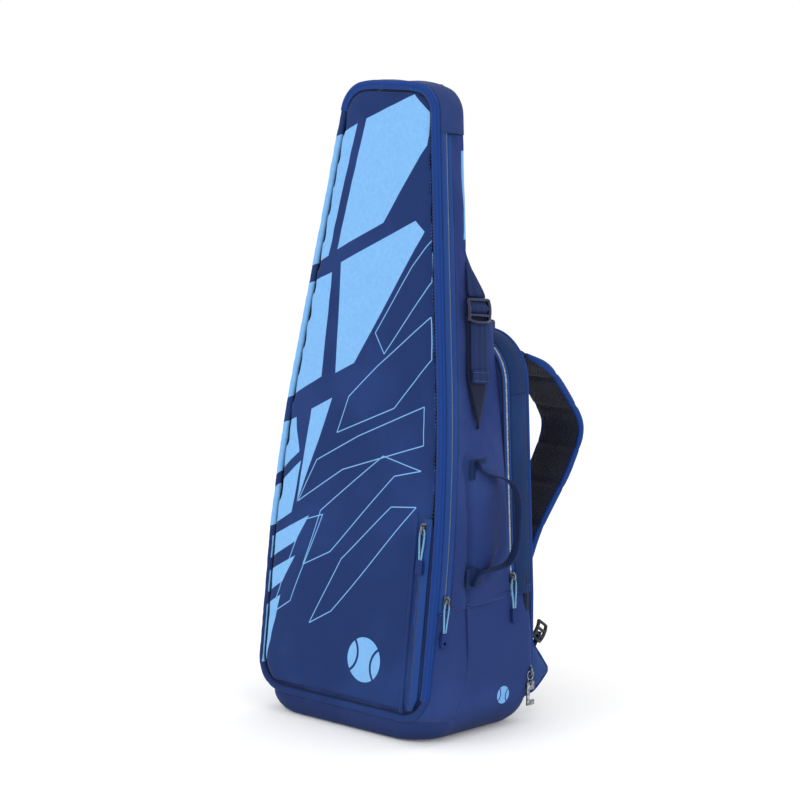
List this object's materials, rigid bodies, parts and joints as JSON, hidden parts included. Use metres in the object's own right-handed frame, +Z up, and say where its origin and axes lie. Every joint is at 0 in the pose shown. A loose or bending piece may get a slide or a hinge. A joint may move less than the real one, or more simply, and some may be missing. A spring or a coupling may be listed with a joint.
{
  "type": "racket tournament bag",
  "caption": "Tall soft backpack for rackets with a leaning zipped racket compartment, narrow neck, main compartment behind, side handle and padded harness.",
  "frame": {"origin": "on the floor under the bag, on its centre plane, 80 mm behind the foot of the front plane", "axes": "+Z up the bag, -Y out of the front, +X towards the side with the carry handle"},
  "size_m": [0.3061, 0.2916, 0.7204],
  "materials": {
    "shell_fabric": "woven polyester",
    "lining": "plain lining",
    "binding": "ribbed binding",
    "zip_tape": "ribbed tape",
    "zip_coil": "nylon coil",
    "silver_coil": "silver coated coil",
    "base_fabric": "coated polyester",
    "stiffener": "moulded board",
    "mesh_fabric": "spacer mesh",
    "slider_metal": "gunmetal",
    "hook_metal": "satin",
    "pull_cord": "braided cord",
    "pull_tab": "moulded rubberised",
    "webbing": "woven webbing",
    "buckle_plastic": "moulded acetal"
  },
  "bodies": {
    "bag": {"back_binding": "binding", "back_pads": "mesh_fabric", "back_panel": "shell_fabric", "base_board": "stiffener", "base_tray": "base_fabric", "compression_anchors": "webbing", "compression_webs": "webbing", "divider_panel": "lining", "front_binding": "binding", "front_panel": "shell_fabric", "handle_anchors": "webbing", "haul_anchor": "webbing", "left_gusset": "shell_fabric", "left_lower_panel": "shell_fabric", "left_main_gusset": "shell_fabric", "main_zip_coil": "silver_coil", "main_zip_tape": "zip_tape", "neck_back_panel": "shell_fabric", "neck_cap": "shell_fabric", "pocket_lining": "lining", "pocket_zip_band": "zip_tape", "racket_zip_coil": "zip_coil", "racket_zip_tape": "zip_tape", "rear_zip_coil": "zip_coil", "rear_zip_tape": "zip_tape", "right_gusset": "shell_fabric", "right_lower_panel": "shell_fabric", "right_main_gusset": "shell_fabric", "strap_anchors": "shell_fabric", "strap_foot_anchors": "webbing", "top_main_gusset": "shell_fabric", "wing_anchors": "webbing"},
    "racket_slider": {"racket_zip_slider": "slider_metal"},
    "racket_pull": {"racket_pull_cord": "pull_cord", "racket_pull_tab": "pull_tab"},
    "pocket_slider": {"pocket_zip_slider": "slider_metal"},
    "pocket_pull": {"pocket_pull_cord": "pull_cord", "pocket_pull_tab": "pull_tab"},
    "main_slider": {"main_zip_slider": "slider_metal"},
    "main_pull": {"main_pull_cord": "pull_cord", "main_pull_tab": "pull_tab"},
    "rear_slider": {"rear_zip_slider": "slider_metal"},
    "rear_pull": {"rear_pull_rings": "slider_metal", "rear_pull_hook": "hook_metal"},
    "handle": {"side_handle": "webbing"},
    "haul": {"haul_loop": "webbing"},
    "strap_right": {"shoulder_pad_right": "mesh_fabric", "strap_webbing_right": "webbing"},
    "adjuster_right": {"strap_adjuster_right": "buckle_plastic"},
    "wing_right": {"waist_wing_right": "shell_fabric"},
    "wing_buckle_right": {"waist_buckle_right": "buckle_plastic"},
    "neck_buckle_right": {"compression_buckle_right": "buckle_plastic"},
    "neck_tail_right": {"compression_tail_right": "webbing"},
    "strap_left": {"shoulder_pad_left": "mesh_fabric", "strap_webbing_left": "webbing"},
    "adjuster_left": {"strap_adjuster_left": "buckle_plastic"},
    "wing_left": {"waist_wing_left": "shell_fabric"},
    "wing_buckle_left": {"waist_buckle_left": "buckle_plastic"},
    "neck_buckle_left": {"compression_buckle_left": "buckle_plastic"},
    "neck_tail_left": {"compression_tail_left": "webbing"}
  },
  "joints": [
    {"name": "racket_zip", "type": "hinge", "parent": "bag", "child": "racket_slider", "pos_m": [-1.307, -0.04466, 0.17701], "axis": [0, -0.9925, 0.1219], "range_deg": [0, 9]},
    {"name": "pocket_zip", "type": "slide", "parent": "bag", "child": "pocket_slider", "axis": [0, 0.1219, 0.9925], "range_m": [-0.18, 0]},
    {"name": "main_zip", "type": "slide", "parent": "bag", "child": "main_slider", "axis": [-0.0402, 0, 0.9992], "range_m": [0, 0.2]},
    {"name": "rear_zip", "type": "slide", "parent": "bag", "child": "rear_slider", "axis": [0, 0, 1], "range_m": [0, 0.083]},
    {"name": "racket_pull_swing", "type": "hinge", "parent": "racket_slider", "child": "racket_pull", "pos_m": [0.1378, -0.04675, 0.16], "axis": [0, -0.9925, 0.1219], "range_deg": [0, 120]},
    {"name": "pocket_pull_swing", "type": "hinge", "parent": "pocket_slider", "child": "pocket_pull", "pos_m": [0.11, -0.05631, 0.23889], "axis": [-1, 0, 0], "range_deg": [0, 120]},
    {"name": "main_pull_swing", "type": "hinge", "parent": "main_slider", "child": "main_pull", "pos_m": [0.13699, 0.0625, 0.17016], "axis": [0, -1, 0], "range_deg": [0, 120]},
    {"name": "rear_pull_swing", "type": "hinge", "parent": "rear_slider", "child": "rear_pull", "pos_m": [0.1388, 0.0895, 0.06], "axis": [0, -1, 0], "range_deg": [0, 120]},
    {"name": "handle_swing", "type": "hinge", "parent": "bag", "child": "handle", "pos_m": [0.13457, -0.004, 0.182], "axis": [-0.0481, 0.1011, 0.9937], "range_deg": [-100, 0]},
    {"name": "haul_swing", "type": "hinge", "parent": "bag", "child": "haul", "pos_m": [0, 0.099, 0.434], "axis": [1, 0, 0], "range_deg": [-20, 60]},
    {"name": "strap_right_swing", "type": "hinge", "parent": "bag", "child": "strap_right", "pos_m": [0.084, 0.098, 0.108], "axis": [0, 0, 1], "range_deg": [-20, 20]},
    {"name": "adjuster_right_tilt", "type": "hinge", "parent": "strap_right", "child": "adjuster_right", "pos_m": [0.084, 0.122, 0.153], "axis": [1, 0, 0], "range_deg": [0, 45]},
    {"name": "wing_right_swing", "type": "hinge", "parent": "bag", "child": "wing_right", "pos_m": [0.111, 0.098, 0.058], "axis": [0, 0, 1], "range_deg": [-35, 35]},
    {"name": "wing_buckle_right_tilt", "type": "hinge", "parent": "wing_right", "child": "wing_buckle_right", "pos_m": [0.111, 0.13, 0.082], "axis": [1, 0, 0], "range_deg": [-60, 0]},
    {"name": "neck_buckle_right_tilt", "type": "hinge", "parent": "bag", "child": "neck_buckle_right", "pos_m": [0.10795, 0.03252, 0.48153], "axis": [0, -0.9925, 0.1219], "range_deg": [0, 50]},
    {"name": "neck_tail_right_swing", "type": "hinge", "parent": "neck_buckle_right", "child": "neck_tail_right", "pos_m": [0.11002, 0.02973, 0.45876], "axis": [0, -0.9925, 0.1219], "range_deg": [0, 40]},
    {"name": "strap_left_swing", "type": "hinge", "parent": "bag", "child": "strap_left", "pos_m": [-0.084, 0.098, 0.108], "axis": [0, 0, 1], "range_deg": [-20, 20]},
    {"name": "adjuster_left_tilt", "type": "hinge", "parent": "strap_left", "child": "adjuster_left", "pos_m": [-0.084, 0.122, 0.153], "axis": [1, 0, 0], "range_deg": [0, 45]},
    {"name": "wing_left_swing", "type": "hinge", "parent": "bag", "child": "wing_left", "pos_m": [-0.111, 0.098, 0.058], "axis": [0, 0, 1], "range_deg": [-35, 35]},
    {"name": "wing_buckle_left_tilt", "type": "hinge", "parent": "wing_left", "child": "wing_buckle_left", "pos_m": [-0.111, 0.13, 0.082], "axis": [1, 0, 0], "range_deg": [-60, 0]},
    {"name": "neck_buckle_left_tilt", "type": "hinge", "parent": "bag", "child": "neck_buckle_left", "pos_m": [-0.10795, 0.03252, 0.48153], "axis": [0, 0.9925, -0.1219], "range_deg": [0, 50]},
    {"name": "neck_tail_left_swing", "type": "hinge", "parent": "neck_buckle_left", "child": "neck_tail_left", "pos_m": [-0.11002, 0.02973, 0.45876], "axis": [0, 0.9925, -0.1219], "range_deg": [0, 40]}
  ]
}
